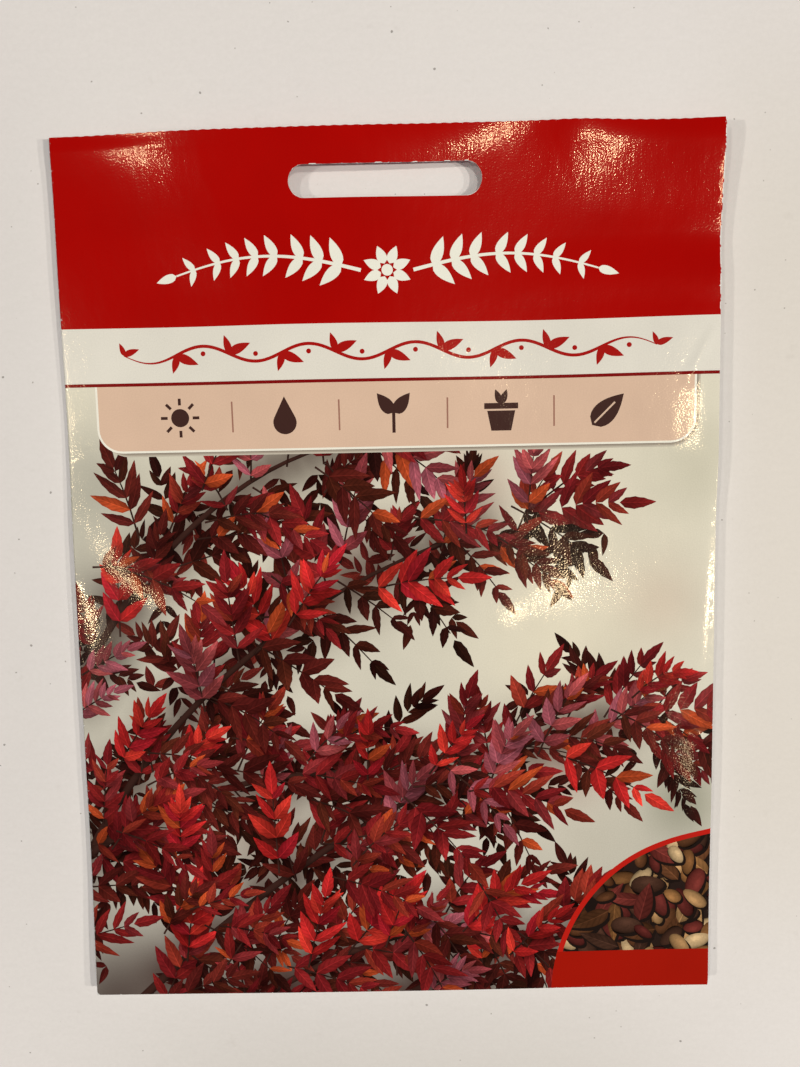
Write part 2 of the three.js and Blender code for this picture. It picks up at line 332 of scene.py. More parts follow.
def spray(inks):
    leaves, lines = [], []
    for p0, p1, p2, count in BRANCHES:
        line = bezier(p0, p1, p2, 40)
        lines.append((1.0, line[::2], np.linspace(1.7, 0.4, 20)))
        # leaves in shade, then those round the branch, then the outer ones
        for ring, share in ((0, 2.6), (1, 2.2), (2, 1.5)):
            total = int(round(count * share))
            for k in range(total):
                i = int(np.clip(4 + 36 * (k + rng.uniform(0, 1)) / total, 3, 39))
                way = line[i] - line[i - 1]
                turn = math.atan2(way[1], way[0]) + (1 if (k + ring) % 2 else -1) * rng.uniform(0.25, 1.35)
                if ring == 0:
                    at, size, turn = line[i] + rng.normal(0, 4.5, 2), rng.uniform(10, 15), rng.uniform(0, 2 * PI)
                else:
                    at, size = line[i] + rng.normal(0, 1.0 + 1.6 * ring, 2), rng.uniform(11, 17.5)
                lit = 0.5 + 0.5 * math.sin(turn)
                depth = rng.uniform(0, 0.9) if ring == 0 else 1.1 + 0.4 * (ring - 1) + rng.uniform(0, 0.5)
                tone = tone_of(0.12 + 0.12 * depth if ring == 0 else 0.10 + 0.42 * (depth - 1) + 0.38 * lit)
                stalk, blades = feather(*at, turn, size, int(rng.integers(4, 7)), rng.uniform(0.5, 4), depth, tone)
                leaves += blades
                if ring:
                    lines.append((depth - 0.001, stalk[::4], np.linspace(0.36, 0.2, 4)))
        stalk, blades = feather(*line[-1], math.atan2(*(line[-1] - line[-3])[::-1]), 17, 6, 2, 1.95, MIDDLE)
        leaves += blades
    leaves.sort(key=lambda leaf: leaf[0])
    shown = in_sight(leaves)
    todo = [(leaf[0], 1, leaf) for leaf, keep in zip(leaves, shown) if keep] + [(depth, 0, (line, widths)) for depth, line, widths in lines]
    todo.sort(key=lambda job: job[:2])
    for depth, is_leaf, job in todo:
        if not is_leaf:
            inks.stroke(*job, TWIG * rng.uniform(0.8, 1.4), STEM)
            continue
        _, x, y, angle, length, half, bend, tone = job
        colour = tone[rng.integers(len(tone))] * rng.uniform(0.78, 1.2)
        if rng.random() < 0.06 and depth > 1.3:
            colour = srgb(190, 74, 36) * rng.uniform(0.75, 1.1)
        inks.leaf(x, y, angle, length, half, bend, colour, teeth=0.06 if depth > 1 else 0.0, n=8 if depth > 1 else 6)


def backdrop(x, y):
    """The soft, out of focus ground of the picture."""
    t = np.clip((y + 75) / 100, 0, 1)[..., None]
    c = srgb(202, 194, 176) * (1 - t) + srgb(226, 216, 190) * t
    soft = [(40, 12, 15, srgb(230, 218, 191), 0.7), (30, -10, 18, srgb(232, 219, 189), 0.8), (50, -40, 8, srgb(112, 112, 84), 0.6),
            (34, -50, 12, srgb(190, 180, 158), 0.5), (8, -80, 15, srgb(60, 44, 38), 0.9), (-22, -82, 18, srgb(50, 34, 30), 0.95), (-52, -76, 14, srgb(64, 44, 38), 0.9),
            (-52, 17, 10, srgb(150, 146, 130), 0.6), (52, 20, 9, srgb(196, 188, 160), 0.5), (-55, -4, 9, srgb(120, 116, 104), 0.6),
            (-50, -12, 6, srgb(84, 86, 66), 0.5), (-10, 4, 9, srgb(120, 70, 54), 0.45), (46, -4, 7, srgb(206, 176, 150), 0.4),
            (14, 17, 7, srgb(166, 106, 88), 0.4), (30, -33, 7, srgb(160, 96, 80), 0.4), (-24, -44, 8, srgb(110, 60, 48), 0.5)]
    for sx, sy, r, colour, share in soft:
        k = share * np.exp(-((x - sx) ** 2 + (y - sy) ** 2) / r**2)[..., None]
        c = c * (1 - k) + colour * k
    far = np.full(np.shape(x), 1e9)
    for p0, p1, p2, _ in BRANCHES:
        for q in bezier(p0, p1, p2, 24)[3:22]:
            far = np.minimum(far, (x - q[0]) ** 2 + (y - q[1]) ** 2)
    k = 0.8 * np.exp(-far / 6.5**2)[..., None]
    return c * (1 - k) + srgb(58, 24, 18) * k


def clipped(ring, x, y, r, n=120):
    """The part of a ring inside a circle."""
    if np.all(np.hypot(ring[:, 0] - x, ring[:, 1] - y) < r * math.cos(PI / n)):
        return ring
    t = 2 * PI * (np.arange(n) + 0.5) / n
    for nx, ny in zip(np.cos(t), np.sin(t)):
        d = (ring[:, 0] - x) * nx + (ring[:, 1] - y) * ny - r * math.cos(PI / n)
        if np.all(d <= 0):
            continue
        if np.all(d >= 0):
            return ring[:0]
        out = []
        for i in range(len(ring)):
            j = (i + 1) % len(ring)
            if d[i] <= 0:
                out.append(ring[i])
            if (d[i] < 0) != (d[j] < 0) and d[i] != d[j]:
                out.append(ring[i] + (ring[j] - ring[i]) * d[i] / (d[i] - d[j]))
        ring = np.array(out)
    area = np.sum(ring[:, 0] * np.roll(ring[:, 1], -1) - np.roll(ring[:, 0], -1) * ring[:, 1]) / 2
    return ring if area > 0.08 else ring[:0]


def inset(inks):
    """Round corner picture of loose seeds and husks, with a plain red foot."""
    inside = INSET_R - 0.95
    inks.disc(INSET_X, INSET_Y, INSET_R, srgb(190, 30, 20), 120)
    inks.disc(INSET_X, INSET_Y, inside, srgb(40, 27, 22), 120)
    tones = [srgb(142, 98, 56), srgb(170, 128, 82), srgb(96, 58, 34), srgb(94, 38, 32), srgb(122, 80, 44), srgb(188, 156, 112), srgb(70, 44, 32), srgb(116, 48, 40)]
    first = len(inks.rings)
    spots = []
    for _ in range(2600):
        x, y = rng.uniform(26, 58), rng.uniform(-71, -43)
        if math.hypot(x - INSET_X, y - INSET_Y) < INSET_R and all((x - a) ** 2 + (y - b) ** 2 > 2.0**2 for a, b in spots):
            spots.append((x, y))
    for k, (x, y) in enumerate(spots):
        turn, colour = rng.uniform(0, 2 * PI), tones[rng.integers(len(tones))] * rng.uniform(0.75, 1.15)
        if k % 4 == 3:
            length, half, bend = rng.uniform(6.5, 9.5), rng.uniform(1.1, 1.7), rng.uniform(-1.6, 1.6)
            inks.leaf(x + 0.35, y - 0.45, turn, length, half * 1.12, bend, srgb(30, 20, 16), n=12, kind=PLAIN)
            inks.leaf(x, y, turn, length, half, bend, colour * 1.1, n=12)
        else:
            length = rng.uniform(1.7, 3.1)
            half = length * rng.uniform(0.42, 0.66)
            t = 2 * PI * np.arange(16) / 16
            inks.add(np.stack([x + 0.3 + length * 1.06 * np.cos(t) * math.cos(turn) - half * 1.1 * np.sin(t) * math.sin(turn),
                               y - 0.4 + length * 1.06 * np.cos(t) * math.sin(turn) + half * 1.1 * np.sin(t) * math.cos(turn)], -1), srgb(30, 20, 16))
            inks.seed(x, y, turn, length, half, colour)
    # nothing passes over the ring
    for k in reversed(range(first, len(inks.rings))):
        inks.rings[k] = clipped(inks.rings[k], INSET_X, INSET_Y, inside)
        if len(inks.rings[k]) < 3 or (inks.rows[k][0] == LEAF and len(inks.rings[k]) != 24):
            del inks.rings[k], inks.rows[k]
    inks.add(label_ring(), srgb(162, 22, 8))


def label_ring():
    """The foot of the corner picture: below its top line and inside the ring."""
    r = INSET_R - 0.02
    start = math.pi - math.asin((LABEL_Y - INSET_Y) / r)
    t = np.linspace(start, PI + 0.06, 14)
    arc = np.stack([INSET_X + r * np.cos(t), INSET_Y + r * np.sin(t)], -1)
    return np.concatenate([arc, [[arc[-1][0], -80], [62, -80], [62, LABEL_Y]]])


def sprig(inks, x, y, turn, mirror, colour):
    """Half of the header's ornament: a curved stem with pairs of leaves."""
    n = 30
    t = np.linspace(0, 1, n)
    line = np.stack([x + mirror * 31 * t, y + turn * np.sin(t * PI * 0.9) * 3.2 - 1.2 * t], -1)
    inks.stroke(line, np.linspace(0.62, 0.28, n), colour)
    for k in range(1, 9):
        i = int(k * n / 9.2)
        way = line[i] - line[i - 1]
        angle = math.atan2(way[1], way[0])
        size = 5.2 - 0.30 * k
        for side in (1, -1):
            inks.leaf(line[i][0], line[i][1], angle + side * mirror * 0.85, size, size * 0.2, side * mirror * 0.5, colour, n=9, kind=PLAIN)
    way = line[-1] - line[-2]
    inks.leaf(line[-1][0], line[-1][1], math.atan2(way[1], way[0]), 3.6, 0.72, 0, colour, n=9, kind=PLAIN)


def header_ornament(inks):
    white = srgb(240, 234, 224)
    y = 52.6
    sprig(inks, 4.4, y, 1, 1, white)
    sprig(inks, -4.4, y, 1, -1, white)
    for k in range(8):
        a = 2 * PI * k / 8 + PI / 8
        inks.leaf(1.1 * math.cos(a), y + 1.1 * math.sin(a), a, 3.1, 0.85, 0, white, n=9, kind=PLAIN)
    inks.disc(0, y, 0.95, white)


def band_ornament(inks):
    red = srgb(168, 18, 14)
    x = np.linspace(-45, 45, 150)
    y = 39.4 + 1.35 * np.sin(2 * PI * x / 18)
    taper = 0.16 + 0.38 * smooth((45 - np.abs(x)) / 12)
    inks.stroke(np.stack([x, y], -1), taper, red)
    for k in range(-5, 6):
        cx = 9 * k
        slope = math.atan2(1.35 * 2 * PI / 18 * math.cos(2 * PI * cx / 18), 1)
        cy = 39.4 + 1.35 * math.sin(2 * PI * cx / 18)
        s = 1 if k % 2 else -1
        size = 4.0 if abs(k) < 5 else 2.8
        inks.leaf(cx, cy, slope + s * 1.0, size, size * 0.2, -s * 0.5, red, n=9, kind=PLAIN)
        inks.leaf(cx, cy, slope + PI - s * 1.0, size * 0.8, size * 0.16, s * 0.4, red, n=9, kind=PLAIN)
        inks.disc(cx + 4.5, 39.4 - s * 0.1, 0.42, red, 12) if abs(k) < 5 else None


def panel_signs(inks):
    """Plain planting signs: sun, drop, seedling, pot and leaf."""
    dark = srgb(66, 40, 34)
    y = 28.8
    # sun
    x = -36.0
    inks.disc(x, y, 1.55, dark)
    for k in range(8):
        a = 2 * PI * k / 8
        inks.stroke([[x + 2.15 * math.cos(a), y + 2.15 * math.sin(a)], [x + 3.3 * math.cos(a), y + 3.3 * math.sin(a)]], 0.5, dark)
    # drop
    x = -18.0
    t = np.linspace(math.radians(153), math.radians(387), 22)
    inks.add(np.concatenate([np.stack([x + 2.0 * np.cos(t), y - 1.1 + 2.0 * np.sin(t)], -1), [[x, y + 3.3]]]), dark)
    # seedling
    x = 0.6
    inks.stroke([[x, y - 3.2], [x, y - 1.0], [x, y + 0.4]], 0.55, dark)
    inks.leaf(x, y + 0.2, 0.75, 4.3, 1.15, 0.5, dark, n=10, kind=PLAIN)
    inks.leaf(x, y + 0.2, PI - 0.75, 4.3, 1.15, -0.5, dark, n=10, kind=PLAIN)
    # pot
    x = 19.0
    inks.add([[x - 1.7, y - 3.2], [x + 1.7, y - 3.2], [x + 2.4, y + 0.2], [x - 2.4, y + 0.2]], dark)
    inks.add([[x - 2.9, y + 0.5], [x + 2.9, y + 0.5], [x + 2.9, y + 1.5], [x - 2.9, y + 1.5]], dark)
    inks.leaf(x, y + 1.4, 1.1, 2.6, 0.6, 0.2, dark, n=8, kind=PLAIN)
    inks.leaf(x, y + 1.4, PI - 1.1, 2.6, 0.6, -0.2, dark, n=8, kind=PLAIN)
    # leaf
    x = 37.0
    inks.leaf(x - 2.6, y - 2.6, 0.78, 7.4, 1.9, 0, dark, n=12, kind=PLAIN)
    inks.stroke([[x - 2.2, y - 2.2], [x + 1.2, y + 1.2]], 0.3, srgb(219, 184, 154))
    for x in (-27.0, -8.7, 9.8, 28.0):
        inks.stroke([[x, y - 2.6], [x, y + 2.6]], 0.28, srgb(160, 112, 92))


def front_inks():
    inks = Inks()
    spray(inks)
    inset(inks)
    # panel with a soft edge below it and a white outline
    for grow, colour in ((1.0, srgb(196, 184, 162)), (0.75, srgb(168, 154, 134)), (0.5, srgb(140, 126, 110))):
        inks.add(rounded_foot(PANEL_L + 0.2, PANEL_R + grow, RULE_Y, PANEL_Y - grow, PANEL_CORNER + grow), colour)
    inks.add(rounded_foot(PANEL_L - 0.36, PANEL_R + 0.36, RULE_Y, PANEL_Y - 0.36, PANEL_CORNER + 0.36), srgb(244, 238, 228))
    inks.add(rounded_foot(PANEL_L, PANEL_R, RULE_Y, PANEL_Y, PANEL_CORNER), srgb(222, 186, 156))
    panel_signs(inks)
    inks.add([[-60, RULE_Y], [60, RULE_Y], [60, HEADER_Y], [-60, HEADER_Y]], srgb(229, 220, 201))
    inks.add([[-60, RULE_Y - RULE / 2], [60, RULE_Y - RULE / 2], [60, RULE_Y + RULE / 2], [-60, RULE_Y + RULE / 2]], srgb(128, 12, 12))
    band_ornament(inks)
    inks.add([[-60, HEADER_Y], [60, HEADER_Y], [60, 80], [-60, 80]], srgb(170, 5, 2))
    header_ornament(inks)
    return inks


# ---- meshes -------------------------------------------------------------------
def slot_ring(grow=0.0, n=22, rough=0.0):
    r, half = SLOT_R + grow, SLOT_HALF - SLOT_R
    t = np.linspace(-PI / 2, PI / 2, n)
    a = np.stack([half + r * np.cos(t), SLOT_Y + r * np.sin(t)], -1)
    b = np.stack([-half - r * np.cos(t), SLOT_Y - r * np.sin(t)], -1)
    mid = np.linspace(half, -half, 60)[1:-1]
    up = np.stack([mid, np.full(58, SLOT_Y + r)], -1)
    down = np.stack([-mid, np.full(58, SLOT_Y - r)], -1)
    ring = np.concatenate([a, up, b, down])
    return ring + rough * np.random.default_rng(5).normal(0, 1, ring.shape)


def top_cut(a0, a1, low=0.12, pitch=1.78):
    """The serrated top edge, from right to left."""
    n = int((a1 - a0) / pitch * 6)
    x = np.linspace(a1, a0, n)
    wave = np.abs(((x / pitch) % 1) * 2 - 1)
    calm = smooth((HALF_W - np.abs(x)) / 7)
    return np.stack([x, HALF_H - low * (0.25 + 0.75 * calm) * wave**0.8], -1)


def loops_of(tris):
    """The sheet's edges as closed rows of points."""
    edges = np.concatenate([tris[:, [0, 1]], tris[:, [1, 2]], tris[:, [2, 0]]])
    keys = {}
    for i, j in edges:
        keys[(int(i), int(j))] = True
    after = {}
    for i, j in keys:
        if (j, i) not in keys:
            after.setdefault(i, []).append(j)
    loops = []
    while after:
        start = next(iter(after))
        ring, at = [], start
        while True:
            ring.append(at)
            nexts = after[at]
            to = nexts.pop()
            if not nexts:
                del after[at]
            at = to
            if at == start:
                break
        loops.append(ring)
    return loops


def finer(ring, most=1.5):
    """The ring with points added along its long sides, so that they follow the curve of the sheet."""
    out = []
    for p, q in zip(ring, np.roll(ring, -1, axis=0)):
        n = max(1, int(np.ceil(np.linalg.norm(q - p) / most)))
        out.append(p + (q - p) * (np.arange(n) / n)[:, None])
    return np.concatenate(out)


def split(outline, hole, rings, points, lines):
    """Triangles of the outline less the hole, cut along every ring, and the last ring that holds each."""
    verts, faces, edges = [], [], []
    for ring in [outline, hole, *(finer(ring) for ring in rings)]:
        k = len(verts)
        verts += [tuple(p) for p in ring]
        faces.append(list(range(k, k + len(ring))))
    for line in lines:
        k = len(verts)
        verts += [tuple(p) for p in line]
        edges += [(k + i, k + i + 1) for i in range(len(line) - 1)]
    verts += [tuple(p) for p in points]
    v, _, f, _, _, within = delaunay_2d_cdt(verts, edges, faces, 1, 1e-5, True)
    v = np.array([tuple(p) for p in v])
    kept = [(t, max(w)) for t, w in zip(f, within) if 0 in w and 1 not in w and len(t) == 3]
    tris = np.array([t for t, _ in kept])
    area = np.cross(v[tris[:, 1]] - v[tris[:, 0]], v[tris[:, 2]] - v[tris[:, 0]])
    tris[area < 0] = tris[area < 0][:, ::-1]
    used = np.unique(tris)
    place = np.full(len(v), -1)
    place[used] = np.arange(len(used))
    return v[used], place[tris], np.array([w for _, w in kept])


def grid(a0, a1, b0, b1, step):
    a = np.linspace(a0, a1, int((a1 - a0) / step) + 1)
    b = np.linspace(b0, b1, int((b1 - b0) / step) + 1)
    a, b = np.meshgrid(a, b)
    a = a + np.where(np.arange(len(b)) % 2, step / 4, -step / 4)[:, None]
    return np.stack([a.ravel(), b.ravel()], -1)


def inside_slot(p, grow):
    q = np.maximum(np.abs(p[:, 0]) - (SLOT_HALF - SLOT_R), 0)
    return np.hypot(q, p[:, 1] - SLOT_Y) < SLOT_R + grow


def sheet_object(name, point, outline, hole, rings, step, lines, materials):
    """A thin closed sheet: the printed face, split as printed, a plain face behind it and a rim."""
    lo, hi = outline.min(0), outline.max(0)
    pts = grid(lo[0] + 0.9, hi[0] - 0.9, lo[1] + 0.9, hi[1] - 0.7, step)
    pts = pts[~inside_slot(pts, 0.4)]
    flat, tris, owner = split(outline, hole, rings, pts, lines)
    loops = loops_of(tris)
    loops.sort(key=len, reverse=True)
    rim = [flat[ring] for ring in loops]
    coarse = grid(lo[0] + 2, hi[0] - 2, lo[1] + 2, hi[1] - 2, 4.0)
    coarse = coarse[~inside_slot(coarse, 1.0)]
    flat2, tris2, _ = split(rim[0], rim[1][::-1], [], coarse, [])
    # the rim's points, found again on the plain face
    where = {(round(p[0], 4), round(p[1], 4)): i for i, p in enumerate(flat2)}
    n1 = len(flat)
    top = point(flat[:, 0], flat[:, 1])
    up = normals_of(point, flat[:, 0], flat[:, 1])
    under = point(flat2[:, 0], flat2[:, 1])
    down = normals_of(point, flat2[:, 0], flat2[:, 1])
    verts = np.concatenate([top + up * SHEET / 2, under - down * SHEET / 2])
    quads = []
    for ring in loops:
        low = [where.get((round(flat[i][0], 4), round(flat[i][1], 4))) for i in ring]
        for k in range(len(ring)):
            j = (k + 1) % len(ring)
            if low[k] is not None and low[j] is not None:
                quads.append((ring[j], ring[k], n1 + low[k], n1 + low[j]))
    faces = [tuple(t) for t in tris] + [tuple(n1 + i for i in t[::-1]) for t in tris2] + quads
    mesh = bpy.data.meshes.new(name)
    mesh.from_pydata((verts * MM).tolist(), [], faces)
    kind = np.concatenate([np.zeros(len(tris), np.int32), np.ones(len(tris2) + len(quads), np.int32)])
    mesh.polygons.foreach_set("material_index", kind)
    mesh.polygons.foreach_set("use_smooth", np.ones(len(faces), bool))
    for m in materials:
        mesh.materials.append(m)
    corner = np.empty(len(mesh.loops), np.int32)
    mesh.loops.foreach_get("vertex_index", corner)
    both = np.concatenate([flat, flat2])
    # shading follows the true curve of the sheet, not the split
    ways = np.concatenate([up, -down])[corner]
    first = 3 * (len(tris) + len(tris2))
    for k, q in enumerate(quads):
        n = np.cross(verts[q[1]] - verts[q[0]], verts[q[2]] - verts[q[1]])
        ways[first + 4 * k:first + 4 * k + 4] = n / max(np.linalg.norm(n), 1e-9)
    mesh.normals_split_custom_set(ways.tolist())
    # flat place of every point
    place = mesh.attributes.new("flat", "FLOAT_VECTOR", "POINT")
    place.data.foreach_set("vector", np.concatenate([both, np.zeros((len(both), 1))], 1).astype(np.float32).ravel())
    # one map with the printed face large and the rest beside it
    unit = (both - lo) / (hi - lo)
    uv = np.empty((len(corner), 2))
    n_top = 3 * len(tris)
    uv[:n_top] = 0.004 + unit[corner[:n_top]] * [0.936, 0.992]
    uv[n_top:] = [0.948, 0.004] + unit[corner[n_top:]] * [0.046, 0.992]
    is_top = corner[first:] < n1
    uv[first:][is_top] += [0.003, 0.0]
    layer = mesh.uv_layers.new(name="OFBake")
    layer.data.foreach_set("uv", uv.astype(np.float32).ravel())
    piece = bpy.data.objects.new(name, mesh)
    bpy.context.scene.collection.objects.link(piece)
    mesh.validate()
    return piece, flat, tris, owner


def solid_grid(name, rows, materials, flat):
    """A closed sheet from a grid of middle points, with white edges."""
    rows = np.asarray(rows, float)
    ni, nj = rows.shape[:2]
    di, dj = np.gradient(rows, axis=0), np.gradient(rows, axis=1)
    n = np.cross(di, dj)
    n /= np.maximum(np.linalg.norm(n, axis=-1, keepdims=True), 1e-12)
    outer, inner = (rows + n * SHEET / 2).reshape(-1, 3), (rows - n * SHEET / 2).reshape(-1, 3)
    at = lambda i, j: i * nj + j
    m = ni * nj
    faces, kind = [], []
    for i in range(ni - 1):
        for j in range(nj - 1):
            faces.append((at(i, j), at(i + 1, j), at(i + 1, j + 1), at(i, j + 1))); kind.append(0)
            faces.append((m + at(i, j), m + at(i, j + 1), m + at(i + 1, j + 1), m + at(i + 1, j))); kind.append(1)
    edge = [at(i, 0) for i in range(ni)] + [at(ni - 1, j) for j in range(1, nj)]
    edge += [at(i, nj - 1) for i in range(ni - 2, -1, -1)] + [at(0, j) for j in range(nj - 2, 0, -1)]
    for k, i in enumerate(edge):
        j = edge[(k + 1) % len(edge)]
        faces.append((j, i, m + i, m + j)); kind.append(1)
    mesh = bpy.data.meshes.new(name)
    mesh.from_pydata((np.concatenate([outer, inner]) * MM).tolist(), [], faces)
    mesh.polygons.foreach_set("material_index", np.array(kind, np.int32))
    mesh.polygons.foreach_set("use_smooth", np.array(kind) == 0)
    for mat in materials:
        mesh.materials.append(mat)
    flat = np.asarray(flat, float).reshape(-1, 2)
    place = mesh.attributes.new("flat", "FLOAT_VECTOR", "POINT")
    both = np.concatenate([flat, flat])
    place.data.foreach_set("vector", np.concatenate([both, np.zeros((len(both), 1))], 1).astype(np.float32).ravel())
    mesh.validate()
    piece = bpy.data.objects.new(name, mesh)
    bpy.context.scene.collection.objects.link(piece)
    return piece


# ---- materials ----------------------------------------------------------------
class Look:
    """A material made of nodes."""

    def __init__(self, name):
        self.mat = bpy.data.materials.new(name)
        self.mat.use_nodes = True
        self.tree = self.mat.node_tree
        self.tree.nodes.clear()
        self.out = self.new("ShaderNodeOutputMaterial")
        self.bsdf = self.new("ShaderNodeBsdfPrincipled")
        self.tree.links.new(self.bsdf.outputs[0], self.out.inputs["Surface"])

    def new(self, kind, **props):
        node = self.tree.nodes.new(kind)
        for k, v in props.items():
            setattr(node, k, v)
        return node

    def put(self, socket, value):
        if isinstance(value, bpy.types.NodeSocket):
            self.tree.links.new(value, socket)
        elif isinstance(value, (tuple, list, np.ndarray)) and len(value) == 3 and len(socket.default_value) == 4:
            socket.default_value = (*[float(x) for x in value], 1.0)
        else:
            socket.default_value = value

    def math(self, op, a, b=None, c=None, clamp=False):
        node = self.new("ShaderNodeMath", operation=op, use_clamp=clamp)
        for i, x in enumerate((a, b, c)):
            if x is not None:
                self.put(node.inputs[i], x)
        return node.outputs[0]

    def step(self, x, low, high, to0=0.0, to1=1.0):
        node = self.new("ShaderNodeMapRange", interpolation_type="SMOOTHSTEP", clamp=True)
        for i, v in enumerate((x, low, high, to0, to1)):
            self.put(node.inputs[i], v)
        return node.outputs[0]

    def mix(self, share, a, b, blend="MIX"):
        node = self.new("ShaderNodeMix", data_type="RGBA", blend_type=blend, clamp_factor=True)
        self.put(node.inputs["Factor"], share)
        self.put(node.inputs[6], a)
        self.put(node.inputs[7], b)
        return node.outputs[2]

    def attribute(self, name, output="Vector"):
        return self.new("ShaderNodeAttribute", attribute_name=name).outputs[output]

    def split(self, vector):
        node = self.new("ShaderNodeSeparateXYZ")
        self.put(node.inputs[0], vector)
        return node.outputs

    def stretch(self, vector, x, y, z=1.0):
        node = self.new("ShaderNodeVectorMath", operation="MULTIPLY")
        self.put(node.inputs[0], vector)
        node.inputs[1].default_value = (x, y, z)
        return node.outputs[0]

    def noise(self, vector, scale, detail=2.0, rough=0.5):
        node = self.new("ShaderNodeTexNoise")
        self.put(node.inputs["Vector"], vector)
        node.inputs["Scale"].default_value = scale
        node.inputs["Detail"].default_value = detail
        node.inputs["Roughness"].default_value = rough
        return node.outputs["Fac"]

    def bump(self, height, strength, distance, under=None):
        node = self.new("ShaderNodeBump")
        node.inputs["Strength"].default_value = strength
        node.inputs["Distance"].default_value = distance
        self.put(node.inputs["Height"], height)
        if under is not None:
            self.put(node.inputs["Normal"], under)
        return node.outputs[0]

    def times(self, colour, value):
        node = self.new("ShaderNodeVectorMath", operation="SCALE")
        self.put(node.inputs[0], colour)
        self.put(node.inputs["Scale"], value)
        return node.outputs[0]


PAPER_WHITE = srgb(232, 227, 216)


def paper_finish(look, flat, worn, rough=0.10, veil=0.045):
    """Coated paper: fine grain, fibres that show in the header, a faint broad sheen over the gloss, dull where it is worn."""
    a, b, _ = look.split(flat)
    fibre = look.noise(look.stretch(flat, 2.6, 0.25), 1.0, 2.0, 0.6)
    fibre = look.math("MULTIPLY", fibre, look.math("MULTIPLY", look.step(a, -5.0, 25.0, 0.3, 1.5), look.step(b, 40.0, 52.0, 0.2, 1.0)))
    grain = look.noise(flat, 3.4, 0.0, 0.5)
    cockle = look.noise(look.stretch(flat, 0.30, 0.16), 1.0, 2.0, 0.5)
    r = look.math("MULTIPLY_ADD", grain, 0.04, rough - 0.02)
    r = look.math("MAXIMUM", r, look.math("MULTIPLY", worn, 0.8))
    look.put(look.bsdf.inputs["Roughness"], r)
    smoothed = look.bump(cockle, 1.0, 0.00005)
    n = look.bump(grain, 1.0, 0.0000125, smoothed)
    n = look.bump(fibre, 1.0, 0.000008, n)
    look.put(look.bsdf.inputs["Normal"], n)
    look.bsdf.inputs["IOR"].default_value = 1.5
    look.bsdf.inputs["Specular IOR Level"].default_value = 0.115
    look.bsdf.inputs["Specular Tint"].default_value = (1.0, 0.82, 0.58, 1.0)
    look.bsdf.inputs["Coat Weight"].default_value = veil
    look.bsdf.inputs["Coat Roughness"].default_value = 0.27
    look.put(look.bsdf.inputs["Coat Normal"], smoothed)


